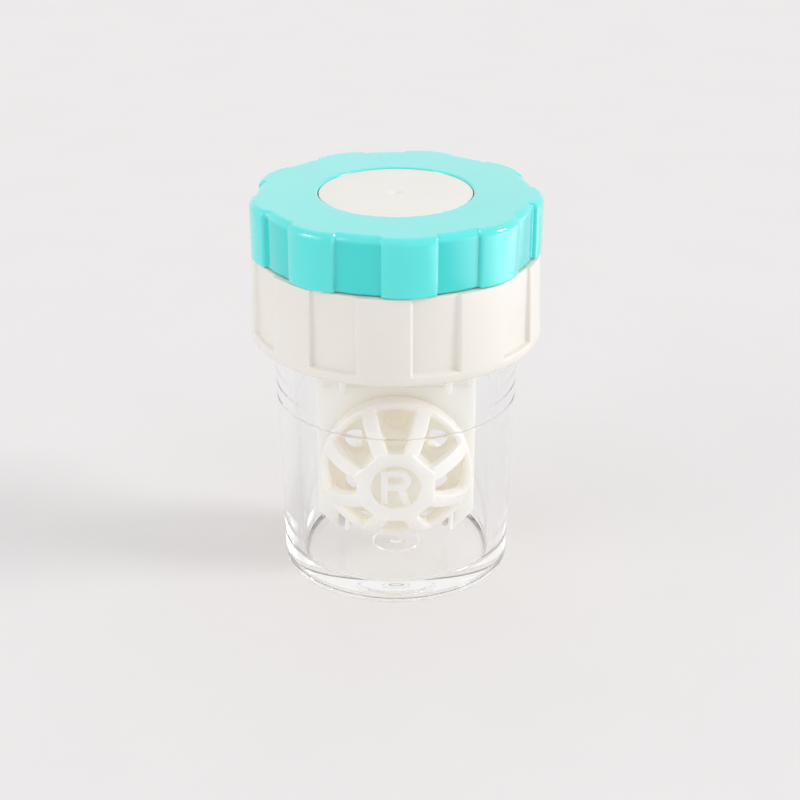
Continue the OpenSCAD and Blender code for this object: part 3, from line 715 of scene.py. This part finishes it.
thread = helix("cup_thread", neck_r - thread_bury, neck_r + thread_depth, neck_thread_z, neck_thread_turns)
cut(cup, thread, "UNION")
bpy.ops.object.shade_smooth_by_angle(angle=math.radians(30))

clear, nodes, links, shader, place = new_material("clear_plastic")
flow = cloud(nodes, links, place, 60, 2)
radius, height = radius_and_height(nodes, links, place)
at_line = nodes.new("ShaderNodeMath")
at_line.operation = "COMPARE"
at_line.inputs[1].default_value = fill_z * mm
at_line.inputs[2].default_value = 0.11 * mm
links.new(height, at_line.inputs[0])
outside = between(nodes, links, radius, inside_r(fill_z) + 1, inside_r(fill_z) + 2)
fill_line = both(nodes, links, at_line.outputs["Value"], outside)
body = ramp(nodes, links, flow, (0.985, 0.99, 0.99), (0.995, 0.995, 0.995))
links.new(tinted(nodes, links, fill_line, body, (0.72, 0.72, 0.72)), shader.inputs["Base Color"])
links.new(spread(nodes, links, flow, 0.0, 0.02), shader.inputs["Roughness"])
raised(nodes, links, shader, flow, 0.02, 0.05)
shader.inputs["IOR"].default_value = 1.5
shader.inputs["Transmission Weight"].default_value = 1.0
coat(cup, clear)
# A clear wall's shadow would come out black, so the cup casts none, and the light on the pieces in it stays.
cup.visible_shadow = False
cup.visible_diffuse = False
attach(cup, "cup")
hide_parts("cup")

# Studio
# A pale paper floor in a white room, with a soft far lamp low on the right that throws the long shadow and a
# weaker, wider one on the left. Two bright cards only show as sheen and glints on the glossy pieces.
# The floor lies a hair below the foot ring, so that the two don't share a plane.
floor_size, floor_gap = 4, 0.02
case_middle = Vector((0, 0, 0.03))
bpy.ops.object.select_all(action="DESELECT")
bpy.ops.mesh.primitive_plane_add(size=floor_size, location=(0, 0, -floor_gap * mm))
floor = bpy.context.object
floor.name = floor.data.name = "studio_floor"
backdrop, nodes, links, shader, place = new_material("studio_floor")
fibre = cloud(nodes, links, place, 40, 2)
links.new(ramp(nodes, links, fibre, (0.845, 0.83, 0.835), (0.855, 0.84, 0.845)), shader.inputs["Base Color"])
shader.inputs["Roughness"].default_value = 1.0
shader.inputs["Specular IOR Level"].default_value = 0.0
coat(floor, backdrop)

world = bpy.data.worlds.new("white_room")
bpy.context.scene.world = world
world.use_nodes = True
nodes, links = world.node_tree.nodes, world.node_tree.links
rays = nodes.new("ShaderNodeLightPath")
either = nodes.new("ShaderNodeMath")
either.operation = "MAXIMUM"
links.new(rays.outputs["Is Glossy Ray"], either.inputs[0])
links.new(rays.outputs["Is Transmission Ray"], either.inputs[1])
links.new(spread(nodes, links, either.outputs["Value"], 0.8, 0.93), nodes["Background"].inputs["Strength"])
nodes["Background"].inputs["Color"].default_value = (1.0, 0.99, 0.985, 1)


def lamp_at(name, kind, place, power):
    """A lamp that faces the case from a place."""
    light = bpy.data.lights.new(name, kind)
    light.energy = power
    lamp = bpy.data.objects.new(name, light)
    bpy.context.scene.collection.objects.link(lamp)
    lamp.location = place
    lamp.rotation_euler = (case_middle - lamp.location).to_track_quat("-Z", "Y").to_euler()
    return lamp


lamp_at("key", "SUN", (1.25, -0.11, 0.61), 1.13).data.angle = math.radians(16.5)
lamp_at("fill", "SUN", (-1.4, -0.7, 0.5), 0.52).data.angle = math.radians(49)

# The side card is brightest in its middle and fades out towards its edges, so its sheen has no outline.
side_card = lamp_at("side_card", "AREA", (0.115, -0.015, 0.025), 0.13)
side_card.data.shape = "RECTANGLE"
side_card.data.size, side_card.data.size_y = 0.26, 0.1
side_card.data.use_nodes = True
nodes, links = side_card.data.node_tree.nodes, side_card.data.node_tree.links
on_card = nodes.new("ShaderNodeNewGeometry")
from_middle = nodes.new("ShaderNodeVectorMath")
from_middle.operation = "DISTANCE"
from_middle.inputs[1].default_value = (0.5, 0.5, 0)
links.new(on_card.outputs["Parametric"], from_middle.inputs[0])
fade = nodes.new("ShaderNodeMapRange")
fade.interpolation_type = "SMOOTHSTEP"
fade.inputs["From Min"].default_value = 0.1
fade.inputs["From Max"].default_value = 0.5
fade.inputs["To Min"].default_value = 1.0
fade.inputs["To Max"].default_value = 0.0
links.new(from_middle.outputs["Value"], fade.inputs["Value"])
links.new(fade.outputs["Result"], nodes["Emission"].inputs["Strength"])
edge_card = lamp_at("edge_card", "AREA", (-0.8, -0.3, 0.5), 1.6)
edge_card.data.size = 0.25
for card in (side_card, edge_card):
    card.visible_diffuse = False
    card.visible_transmission = False

camera = bpy.data.cameras.new("camera")
camera.lens = 74.25
camera.sensor_width = 36
camera_stand = bpy.data.objects.new("camera", camera)
bpy.context.scene.collection.objects.link(camera_stand)
look_down = 25.226
camera_stand.location = (0.00062, -0.232415, 0.135533)
camera_stand.rotation_euler = (math.radians(90 - look_down), 0, 0)
bpy.context.scene.camera = camera_stand
bpy.context.scene.view_settings.view_transform = "Standard"
bpy.context.scene.cycles.max_bounces = 32
bpy.context.scene.cycles.glossy_bounces = 32
bpy.context.scene.cycles.transmission_bounces = 32
bpy.context.scene.cycles.diffuse_bounces = 24
